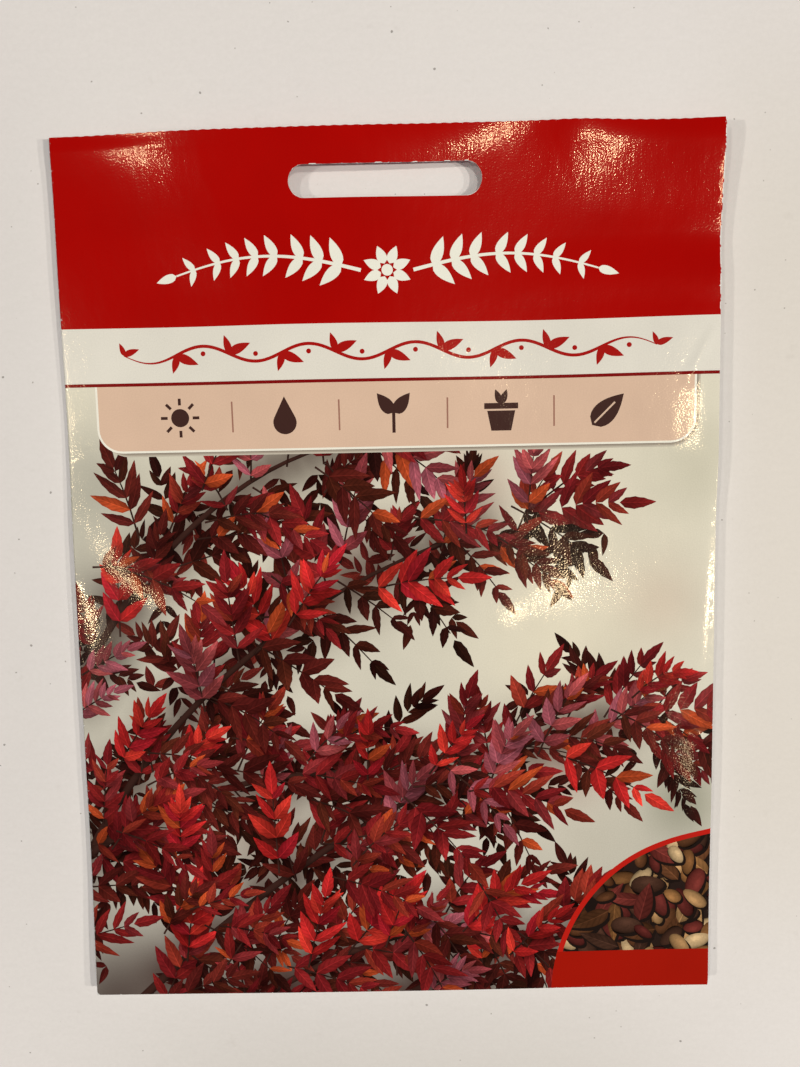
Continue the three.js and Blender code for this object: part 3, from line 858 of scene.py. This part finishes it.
def front_look():
    k = Look("printed_front")
    flat = k.attribute("flat")
    a, b, _ = k.split(flat)
    u, y, kind = k.split(k.attribute("leaf"))
    ink = k.attribute("ink", "Color")
    # leaf: midrib, side veins, two halves, quilted blade
    is_leaf = k.math("COMPARE", kind, float(LEAF), 0.1)
    cu = k.math("MINIMUM", k.math("MAXIMUM", u, 0.002), 0.998)
    wide = k.math("MULTIPLY", k.math("POWER", cu, LEAF_P), k.math("POWER", k.math("SUBTRACT", 1.0, cu), LEAF_Q))
    wide = k.math("MULTIPLY", wide, LEAF_NORM)
    ay = k.math("ABSOLUTE", y)
    av = k.math("DIVIDE", ay, wide)
    rib_w = k.math("MULTIPLY_ADD", k.math("SUBTRACT", 1.0, cu), 0.075, 0.02)
    rib = k.math("SUBTRACT", 1.0, k.step(k.math("DIVIDE", ay, rib_w), 0.45, 1.0))
    wave = k.math("SUBTRACT", k.math("MULTIPLY", cu, 6.2), k.math("MULTIPLY", ay, 1.5))
    tri = k.math("MULTIPLY", k.math("ABSOLUTE", k.math("SUBTRACT", k.math("FRACT", wave), 0.5)), 2.0)
    vein = k.math("MULTIPLY", k.step(tri, 0.74, 0.97), k.step(av, 1.0, 0.75))
    half = k.math("MULTIPLY_ADD", k.math("SIGN", y), 0.13, 1.0)
    quilt = k.math("MULTIPLY_ADD", k.math("SUBTRACT", 0.5, tri), 0.16, 1.0)
    rim = k.step(av, 0.72, 1.0, 1.0, 0.8)
    blade = k.math("MULTIPLY", k.math("MULTIPLY", half, quilt), rim)
    blade = k.math("MULTIPLY", blade, k.math("MULTIPLY_ADD", vein, -0.20, 1.0))
    blade = k.math("MULTIPLY_ADD", rib, 0.75, blade)
    sheen = k.noise(k.stretch(flat, 0.55, 0.55), 1.0, 3.0, 0.6)
    patch = k.noise(flat, 0.075, 2.0, 0.5)
    blade = k.math("MULTIPLY", blade, k.math("MULTIPLY_ADD", sheen, 0.9, 0.5))
    blade = k.math("MULTIPLY", blade, k.step(patch, 0.36, 0.66, 0.62, 1.25))
    f_leaf = k.math("MULTIPLY_ADD", is_leaf, k.math("SUBTRACT", blade, 1.0), 1.0)
    # seed: lit from the upper left
    is_seed = k.math("COMPARE", kind, float(SEED), 0.1)
    rr = k.math("ADD", k.math("MULTIPLY", u, u), k.math("MULTIPLY", y, y))
    nz = k.math("SQRT", k.math("MAXIMUM", k.math("SUBTRACT", 1.0, rr), 0.0))
    lit = k.math("MULTIPLY_ADD", nz, 0.85, k.math("MULTIPLY", y, 0.35))
    lit = k.math("MULTIPLY_ADD", k.step(lit, 0.80, 0.98), 0.45, k.math("MULTIPLY_ADD", lit, 0.9, 0.28))
    streak = k.noise(k.stretch(flat, 1.6, 1.6), 1.4, 3.0, 0.7)
    lit = k.math("MULTIPLY", lit, k.math("MULTIPLY_ADD", streak, 0.8, 0.6))
    f_seed = k.math("MULTIPLY_ADD", is_seed, k.math("SUBTRACT", lit, 1.0), 1.0)
    # twig: round
    is_stem = k.math("COMPARE", kind, float(STEM), 0.1)
    bark = k.math("MULTIPLY_ADD", k.math("MULTIPLY", y, y), -0.5, 1.15)
    bark = k.math("MULTIPLY_ADD", y, 0.25, bark)
    f_stem = k.math("MULTIPLY_ADD", is_stem, k.math("SUBTRACT", bark, 1.0), 1.0)
    # print grain and slow unevenness of the ink
    dots = k.noise(flat, 4.2, 1.0, 0.5)
    slow = k.noise(flat, 0.09, 2.0, 0.5)
    grain = k.math("MULTIPLY", k.math("MULTIPLY_ADD", dots, 0.14, 0.93), k.math("MULTIPLY_ADD", slow, 0.16, 0.92))
    tone = k.math("MULTIPLY", k.math("MULTIPLY", f_leaf, f_seed), k.math("MULTIPLY", f_stem, grain))
    printed = k.times(ink, tone)
    # wear: bare paper along the folds, the cut and the slot; the thin white line along the right fold is partly worn
    # paper and partly a painted highlight of the fold's rounded edge
    fray = k.noise(flat, 1.3, 4.0, 0.75)
    fine = k.noise(flat, 7.0, 2.0, 0.6)
    ragged = k.math("MULTIPLY_ADD", fine, 0.35, k.math("MULTIPLY", fray, 1.0))
    right = k.math("SUBTRACT", AXIS_R + ARC_R, a)
    left = k.math("SUBTRACT", a, AXIS_L - ARC_L)
    foot = k.math("SUBTRACT", b, AXIS_B - ARC_B)
    # right fold: a thin white line, partly bare worn paper and partly painted highlight, stronger in the header; the
    # larger chips are wear
    high = k.step(b, 34.0, 46.0, 0.35, 1.0)
    chips = k.step(k.noise(k.stretch(flat, 0.9, 0.7), 1.0, 4.0, 0.7), 0.60, 0.72, 0.0, 0.3)
    thin = k.step(k.noise(k.stretch(flat, 0.5, 0.9), 1.0, 3.0, 0.7), 0.38, 0.5, 0.07, 0.22)
    right_wear_and_highlight_reach = k.math("MULTIPLY", k.math("ADD", thin, chips), high)
    right_wear_and_highlight = k.step(k.math("SUBTRACT", right, right_wear_and_highlight_reach), 0.04, 0.0)
    reach_o = k.step(ragged, 0.66, 0.95, 0.0, 0.62)
    w_left = k.step(k.math("SUBTRACT", left, reach_o), 0.06, 0.0)
    w_foot = k.step(k.math("SUBTRACT", foot, reach_o), 0.06, 0.0)
    top = k.math("SUBTRACT", HALF_H, b)
    w_top = k.step(k.math("SUBTRACT", top, k.step(ragged, 0.8, 1.0, 0.0, 0.4)), 0.06, 0.0)
    qx = k.math("MAXIMUM", k.math("SUBTRACT", k.math("ABSOLUTE", a), SLOT_HALF - SLOT_R), 0.0)
    qy = k.math("SUBTRACT", b, SLOT_Y)
    dist = k.math("SUBTRACT", k.math("SQRT", k.math("ADD", k.math("MULTIPLY", qx, qx), k.math("MULTIPLY", qy, qy))), SLOT_R)
    dash = k.step(k.noise(k.stretch(flat, 0.55, 0.1), 1.0, 2.0, 0.6), 0.54, 0.60)
    rim_u = k.math("MULTIPLY", k.math("MULTIPLY", dash, 0.11), k.step(qy, 1.6, 2.3))
    rim_d = k.math("MULTIPLY", k.step(qy, -1.0, -2.2), 0.05)
    w_slot = k.step(k.math("SUBTRACT", dist, k.math("ADD", rim_u, rim_d)), 0.02, -0.02)
    w_tip = k.step(k.math("ADD", left, foot), 1.15, 0.8)
    worn = k.math("MAXIMUM", k.math("MAXIMUM", right_wear_and_highlight, w_left), k.math("MAXIMUM", k.math("MAXIMUM", w_foot, w_tip), k.math("MAXIMUM", w_top, w_slot)))
    colour = k.mix(worn, printed, PAPER_WHITE)
    k.put(k.bsdf.inputs["Base Color"], colour)
    paper_finish(k, flat, worn)
    return k.mat


def core_look():
    """Bare paper inside the packet and on its cut edges, which the ink has stained in places."""
    k = Look("paper_core")
    flat = k.attribute("flat")
    _, b, _ = k.split(flat)
    n = k.noise(k.stretch(flat, 3.0, 1.2), 1.0, 3.0, 0.6)
    stain = k.step(k.noise(k.stretch(flat, 0.5, 0.5), 1.0, 3.0, 0.6), 0.56, 0.46)
    stain = k.math("MULTIPLY", stain, k.step(b, HEADER_Y - 0.5, HEADER_Y + 0.5, 0.0, 0.85))
    bare = k.mix(n, srgb(206, 199, 187), srgb(232, 226, 216))
    k.put(k.bsdf.inputs["Base Color"], k.mix(stain, bare, srgb(122, 62, 66)))
    k.put(k.bsdf.inputs["Roughness"], k.math("MULTIPLY_ADD", n, 0.2, 0.65))
    k.put(k.bsdf.inputs["Normal"], k.bump(n, 0.3, 0.00006))
    return k.mat


def back_look(name):
    """Back of the packet and its flaps: the header's red, a rule, and plain cream below."""
    k = Look(name)
    flat = k.attribute("flat")
    a, b, _ = k.split(flat)
    slow = k.noise(flat, 0.07, 2.0, 0.5)
    dots = k.noise(flat, 4.2, 1.0, 0.5)
    cream = k.mix(slow, srgb(221, 211, 188), srgb(231, 223, 204))
    red = k.mix(slow, srgb(160, 9, 5), srgb(176, 14, 8))
    is_red = k.step(b, HEADER_Y - 0.03, HEADER_Y + 0.03)
    rule = k.math("SUBTRACT", 1.0, k.step(k.math("ABSOLUTE", k.math("SUBTRACT", b, RULE_Y)), RULE / 2 - 0.03, RULE / 2 + 0.03))
    colour = k.mix(k.math("MAXIMUM", is_red, rule), cream, red)
    colour = k.times(colour, k.math("MULTIPLY_ADD", dots, 0.10, 0.95))
    fray = k.math("MULTIPLY_ADD", k.noise(flat, 7.0, 2.0, 0.6), 0.35, k.noise(flat, 1.3, 4.0, 0.75))
    edge = k.math("MINIMUM", k.math("SUBTRACT", AXIS_R + ARC_R, a), k.math("SUBTRACT", a, AXIS_L - ARC_L))
    edge = k.math("MINIMUM", edge, k.math("SUBTRACT", b, AXIS_B - ARC_B))
    worn = k.step(k.math("SUBTRACT", edge, k.step(fray, 0.55, 0.95, 0.12, 0.7)), 0.06, 0.0)
    k.put(k.bsdf.inputs["Base Color"], k.mix(worn, colour, PAPER_WHITE))
    paper_finish(k, flat, worn, 0.24)
    return k.mat


def seed_look():
    k = Look("seed_coat")
    place = k.new("ShaderNodeTexCoord").outputs["Object"]
    n = k.noise(place, 900.0, 4.0, 0.65)
    m = k.noise(place, 160.0, 2.0, 0.5)
    colour = k.mix(n, srgb(84, 50, 28), srgb(150, 104, 62))
    colour = k.mix(m, colour, srgb(112, 58, 40))
    k.put(k.bsdf.inputs["Base Color"], colour)
    k.put(k.bsdf.inputs["Roughness"], k.math("MULTIPLY_ADD", n, 0.3, 0.45))
    k.put(k.bsdf.inputs["Normal"], k.bump(n, 0.4, 0.0002))
    return k.mat


def floor_look():
    """A pale painted table: faint mottling, fine brush marks, a few specks of dirt, and painted shade below the packet
    and beside it.
    """
    k = Look("pale_table")
    place = k.new("ShaderNodeTexCoord").outputs["Object"]
    x, y, _ = k.split(place)
    n = k.noise(place, 14.0, 3.0, 0.5)
    fine = k.noise(place, 1300.0, 3.0, 0.7)
    brush = k.noise(k.stretch(place, 260.0, 700.0), 1.0, 3.0, 0.65)
    dirt = k.step(k.noise(place, 1000.0, 0.0, 0.4), 0.85, 0.90)
    smudge = k.step(k.noise(place, 170.0, 3.0, 0.6), 0.66, 0.80)
    # painted shade: the table is darker below the packet and to its right and left
    foot = k.math("MULTIPLY", k.step(y, -0.055, -0.105, 0.0, 0.8), k.step(k.math("ABSOLUTE", x), 0.075, 0.02))
    far = k.step(k.math("ABSOLUTE", k.math("SUBTRACT", y, 0.01)), 0.10, 0.04)
    right = k.math("MULTIPLY", k.step(x, 0.045, 0.066, 0.0, 0.8), far)
    left = k.math("MULTIPLY", k.step(x, -0.045, -0.068, 0.0, 0.55), far)
    colour = k.mix(n, srgb(228, 218, 209), srgb(234, 225, 217))
    tone = k.math("MULTIPLY", k.math("MULTIPLY_ADD", fine, 0.10, 0.95), k.math("MULTIPLY_ADD", brush, 0.05, 0.975))
    # mix in the painted shade below and beside the packet
    for share, shade in ((foot, srgb(213, 204, 191)), (right, srgb(220, 209, 193)), (left, srgb(220, 211, 201))):
        colour = k.mix(share, colour, shade)
    colour = k.times(colour, tone)
    colour = k.mix(k.math("MULTIPLY", smudge, 0.12), colour, srgb(150, 138, 126))
    colour = k.mix(k.math("MULTIPLY", dirt, 0.6), colour, srgb(70, 62, 56))
    k.put(k.bsdf.inputs["Base Color"], colour)
    k.put(k.bsdf.inputs["Roughness"], k.math("MULTIPLY_ADD", fine, 0.1, 0.55))
    k.put(k.bsdf.inputs["Normal"], k.bump(fine, 0.3, 0.00005))
    return k.mat


FRONT, CORE, BACK, FLAP, SEEDS, TABLE = front_look(), core_look(), back_look("printed_back"), back_look("glue_flap"), seed_look(), floor_look()


# ---- front --------------------------------------------------------------------
def fold_lines(left, right, foot, b0, b1, a0, a1):
    lines = []
    bs, as_ = np.linspace(b0, b1, 130), np.linspace(a0, a1, 100)
    if left:
        lines += [np.stack([np.full(130, AXIS_L - ARC_L * s), bs], -1) for s in (0.0, 0.35, 0.7)]
    if right:
        lines += [np.stack([np.full(130, AXIS_R + ARC_R * s), bs], -1) for s in (0.0, 0.5)]
    if foot:
        lines += [np.stack([as_, np.full(100, AXIS_B - ARC_B * s)], -1) for s in (0.0, 0.35, 0.7)]
    return lines


def side(p, q, n):
    return np.linspace(p, q, n)[:-1]


A0, A1, B0 = AXIS_L - ARC_L, AXIS_R + ARC_R, AXIS_B - ARC_B
cut = top_cut(A0, A1)
outline = np.concatenate([side((A0, B0), (A1, B0), 90), side((A1, B0), cut[0], 120), cut[:-1], side(cut[-1], (A0, B0), 120)])
inks = front_inks()
front, flat, tris, owner = sheet_object(
    "front_sheet", front_point, outline, slot_ring(rough=0.012), inks.rings, 1.35,
    fold_lines(True, True, True, B0 + 0.2, HALF_H - 0.5, A0 + 0.2, A1 - 0.2)
    + [np.stack([np.linspace(A0 + 0.5, A1 - 0.5, 110), np.full(110, b)], -1) for b in (72.5, 73.1, 73.7, 74.3)], [FRONT, CORE])


def print_front(mesh, flat, tris, owner, inks):
    """Colour and leaf place at each corner of the printed face."""
    rows = np.array(inks.rows, float)
    ink = owner - 2
    bare = ink < 0
    row = rows[np.maximum(ink, 0)]
    p = flat[tris]                                   # face, corner, xy
    kind, colour = row[:, 0], row[:, 1:4]
    ox, oy, turn, length, half, bend = (row[:, i][:, None] for i in range(4, 10))
    dx, dy = p[..., 0] - ox, p[..., 1] - oy
    u = (dx * np.cos(turn) + dy * np.sin(turn)) / length
    y = (-dx * np.sin(turn) + dy * np.cos(turn) - bend * np.where(kind[:, None] == LEAF, u, 0) ** 2) / half
    shade = np.ones(p.shape[:2])
    # soft shadow of each leaf on the leaves and twigs below it
    is_leaf = rows[:, 0] == LEAF
    shift = np.array([0.5, -0.8])
    grows = (kind == LEAF) | (kind == STEM)
    spot = p.mean(1) - shift
    order = np.argsort(spot[:, 0])
    across = spot[order, 0]
    for m in np.flatnonzero(is_leaf):
        x0, y0, t, ln, hf, bd = rows[m, 4:10]
        lo, hi = np.searchsorted(across, [x0 - ln - 2, x0 + ln + 2])
        reach = order[lo:hi]
        reach = reach[(np.abs(spot[reach, 1] - y0) < ln + 2) & grows[reach] & ~bare[reach] & (ink[reach] < m)]
        if not len(reach):
            continue
        q = p[reach] - shift - [x0, y0]
        uu = (q[..., 0] * math.cos(t) + q[..., 1] * math.sin(t)) / ln
        yy = -q[..., 0] * math.sin(t) + q[..., 1] * math.cos(t) - bd * uu**2
        cu = np.clip(uu, 0.001, 0.999)
        gap = hf * LEAF_NORM * cu**LEAF_P * (1 - cu) ** LEAF_Q - np.abs(yy)
        gap = np.minimum(gap, np.minimum(uu, 1 - uu) * ln * 0.6)
        shade[reach] *= 1 - 0.42 * smooth(gap / 1.2 + 0.45)
    tint = colour[:, None, :]
    along = np.clip(u, 0, 1)
    leafy = (kind == LEAF)[:, None]
    tint = tint * np.where(leafy, 0.74 + 0.42 * along, 1.0)[..., None] * np.where(grows[:, None], np.maximum(shade, 0.22), 1.0)[..., None]
    tint = np.where(bare[:, None, None], backdrop(p[..., 0], p[..., 1]), tint)
    code = np.where(bare, 0, kind)
    n = 3 * len(tris)
    total = len(mesh.loops)
    rgba = np.ones((total, 4), np.float32)
    rgba[:, :3] = 0.8
    rgba[:n, :3] = tint.reshape(-1, 3)
    made = mesh.attributes.new("ink", "FLOAT_COLOR", "CORNER")
    made.data.foreach_set("color", rgba.ravel())
    place = np.zeros((total, 3), np.float32)
    place[:n, 0], place[:n, 1] = u.ravel(), y.ravel()
    place[:n, 2] = np.repeat(code, 3)
    made = mesh.attributes.new("leaf", "FLOAT_VECTOR", "CORNER")
    made.data.foreach_set("vector", place.ravel())


print_front(front.data, flat, tris, owner, inks)
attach(front, "root")
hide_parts("front_panel", "right_fold")

# ---- back ---------------------------------------------------------------------
back_left, back_foot = AXIS_L + 0.06, AXIS_B + 0.06
cut_b = top_cut(back_left, A1)
outline_b = np.concatenate([side((back_left, back_foot), (A1, back_foot), 60), side((A1, back_foot), cut_b[0], 80), cut_b[:-1],
                            side(cut_b[-1], (back_left, back_foot), 80)])


def back_outer(a, b):
    """The back's printed face looks down, so the sheet is laid out mirrored."""
    return back_point(-a, b)


mirror = np.array([-1.0, 1.0])
back, flat_b, tris_b, _ = sheet_object(
    "back_sheet", back_outer, (outline_b * mirror)[::-1], (slot_ring(0.06, rough=0.012) * mirror)[::-1], [], 2.2,
    [line * mirror for line in fold_lines(False, True, False, back_foot + 0.2, HALF_H - 0.5, back_left + 0.2, A1 - 0.2)], [BACK, CORE])
unflip = np.empty(len(back.data.vertices) * 3, np.float32)
back.data.attributes["flat"].data.foreach_get("vector", unflip)
unflip = unflip.reshape(-1, 3) * [-1, 1, 1]
back.data.attributes["flat"].data.foreach_set("vector", unflip.astype(np.float32).ravel())
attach(back, "root")
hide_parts("back_panel")

# ---- flaps --------------------------------------------------------------------
ROW_Y = [(-HALF_H + LAYER + SHEET / 2 + 0.05) + (HALF_H - (-HALF_H + LAYER + SHEET / 2 + 0.05)) * j / 24 for j in range(25)]
FLAP_TOP = ROW_Y[2]
SEAM_W = 12.2


def seam_flap():
    ys = np.concatenate([np.linspace(AXIS_B + 0.1, FLAP_TOP, 12)[:-1], np.linspace(FLAP_TOP, ROW_Y[3], 14)[:-1], np.linspace(ROW_Y[3], HALF_H - 0.15, 90)])
    rows, flat = [], []
    for y in ys:
        keep = 0.02 + 0.98 * float(smooth((y - FLAP_TOP) / (ROW_Y[3] - FLAP_TOP)))
        row, place = [], []
        z = float(back_mid(AXIS_L, y))
        for phi in np.linspace(PI / 2, PI, 6):
            row.append((AXIS_L - math.sin(phi) * LAYER, y, z + math.cos(phi) * LAYER))
            place.append((AXIS_L - ARC_L + LAYER * (phi - PI / 2), y))
        for s in np.linspace(0, 1, 9)[1:]:
            x = AXIS_L + s * SEAM_W * keep
            row.append((x, y, float(back_mid(x, y)) - LAYER))
            place.append((AXIS_L + s * SEAM_W * keep, y))
        rows.append(row)
        flat.append(place)
    return solid_grid("seam_flap_sheet", rows, [FLAP, CORE], flat)


def bottom_flap():
    xs = np.linspace(-HALF_W + 0.95, AXIS_R - 0.1, 100)
    rows, flat = [], []
    for x in xs:
        keep = 0.04 + 0.96 * float(smooth((HALF_W - 1.5 - abs(x)) / 5))
        row, place = [], []
        z = float(back_mid(x, AXIS_B))
        for phi in np.linspace(PI / 2, PI, 6):
            row.append((x, AXIS_B - math.sin(phi) * LAYER, z + math.cos(phi) * LAYER))
            place.append((x, AXIS_B - ARC_B + LAYER * (phi - PI / 2)))
        for s in np.linspace(0, 1, 9)[1:]:
            y = AXIS_B + s * (FLAP_TOP - AXIS_B) * keep
            row.append((x, y, float(back_mid(x, y)) - LAYER))
            place.append((x, y))
        rows.append(row)
        flat.append(place)
    return solid_grid("bottom_flap_sheet", np.array(rows)[::-1], [FLAP, CORE], np.array(flat)[::-1])


for piece, node in ((seam_flap(), "seam_flap"), (bottom_flap(), "bottom_flap")):
    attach(piece, "root")
    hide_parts(node)


# ---- seeds inside -------------------------------------------------------------
def seed_heap():
    import bmesh
    ball = bmesh.new()
    bmesh.ops.create_icosphere(ball, subdivisions=2, radius=1.0)
    shape = np.array([v.co[:] for v in ball.verts])
    faces = np.array([[v.index for v in f.verts] for f in ball.faces])
    ball.free()
    verts, polys, spots = [], [], []
    for _ in range(4000):
        x, y = rng.uniform(-31, 31), rng.uniform(-60, -6)
        if ((x / 32) ** 2 + ((y + 32) / 29) ** 2) > 1 or any((x - a) ** 2 + (y - b) ** 2 < 5.2**2 for a, b in spots):
            continue
        spots.append((x, y))
        turn, long, wide = rng.uniform(0, PI), rng.uniform(2.1, 2.6), rng.uniform(1.4, 1.8)
        thick = min(0.9, 0.32 * float(room(np.array(x), np.array(y))))
        p = shape * [long, wide, thick]
        p = p * (1 - 0.18 * shape[:, :1] * [0, 1, 0.5])
        c, s = math.cos(turn), math.sin(turn)
        z = float(back_z(np.array(x), np.array(y))) + LAYER / 2 + float(room(np.array(x), np.array(y))) * 0.42
        p = np.stack([x + c * p[:, 0] - s * p[:, 1], y + s * p[:, 0] + c * p[:, 1], z + p[:, 2]], -1)
        polys += (faces + len(shape) * (len(spots) - 1)).tolist()
        verts.append(p)
    mesh = bpy.data.meshes.new("seed_heap")
    mesh.from_pydata((np.concatenate(verts) * MM).tolist(), [], polys)
    mesh.polygons.foreach_set("use_smooth", np.ones(len(polys), bool))
    mesh.materials.append(SEEDS)
    piece = bpy.data.objects.new("seed_heap", mesh)
    bpy.context.scene.collection.objects.link(piece)
    return piece


heap = seed_heap()
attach(heap, "root")
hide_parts("seed_fill")

# ---- table, light, camera -----------------------------------------------------
table = bpy.data.meshes.new("table_top")
table.from_pydata([(-0.9, -0.9, -0.00005), (0.9, -0.9, -0.00005), (0.9, 0.9, -0.00005), (-0.9, 0.9, -0.00005)], [], [(0, 1, 2, 3)])
table.materials.append(TABLE)
floor = bpy.data.objects.new("table_top", table)
bpy.context.scene.collection.objects.link(floor)


def lamp(name, place, size, power, colour=tuple(LIGHT), aim=(0, 0, 0)):
    data = bpy.data.lights.new(name, "AREA")
    data.shape = "DISK"
    data.size = size
    data.energy = power
    data.color = colour
    o = bpy.data.objects.new(name, data)
    at, to = np.array(place, float), np.array(aim, float)
    z = at - to
    z /= np.linalg.norm(z)
    x = np.cross([0, 1, 0.01], z)
    x /= np.linalg.norm(x)
    o.matrix_world = Matrix(np.block([[np.stack([x, np.cross(z, x), z], 1), at[:, None]], [np.zeros((1, 3)), np.ones((1, 1))]]).tolist())
    bpy.context.scene.collection.objects.link(o)
    return o


# six small lamps overhead, most of them in a loose row: slope across, slope along, share of the light on the table
LAMPS = [(1.36, -0.25, 0.14), (0.89, -0.24, 0.28), (0.265, 0.05, 0.22), (-0.534, 0.05, 0.13), (-1.03, -0.24, 0.16),
         (0.50, -0.476, 0.05)]
LAMP_UP = 1.2
for k, (sx, sy, share) in enumerate(LAMPS):
    steep = 1 + sx * sx + sy * sy
    lamp("lamp_%d" % k, (sx * LAMP_UP, sy * LAMP_UP + 0.04, LAMP_UP), 0.07, 0.90 * share * PI**2 * LAMP_UP**2 * steep**1.5)

world = bpy.data.worlds.new("soft_room")
world.use_nodes = True
world.node_tree.nodes["Background"].inputs["Color"].default_value = (0.84, 0.93, 1.0, 1.0)
world.node_tree.nodes["Background"].inputs["Strength"].default_value = 0.075
bpy.context.scene.world = world
bpy.context.scene.view_settings.view_transform = "Standard"

cam_data = bpy.data.cameras.new("camera")
cam_data.sensor_width = 36.0
cam_data.lens = 801.0 / 1067.0 * 36.0
cam_data.clip_start = 0.005
camera = bpy.data.objects.new("camera", cam_data)
turn = np.array([[0.999803, 0.019510, 0.003606], [-0.019759, 0.995564, 0.091988], [-0.001795, -0.092041, 0.995754]])
camera.matrix_world = Matrix(np.block([[turn, np.array([[1.774], [21.001], [139.471]]) * MM], [np.zeros((1, 3)), np.ones((1, 1))]]).tolist())
bpy.context.scene.collection.objects.link(camera)
bpy.context.scene.camera = camera
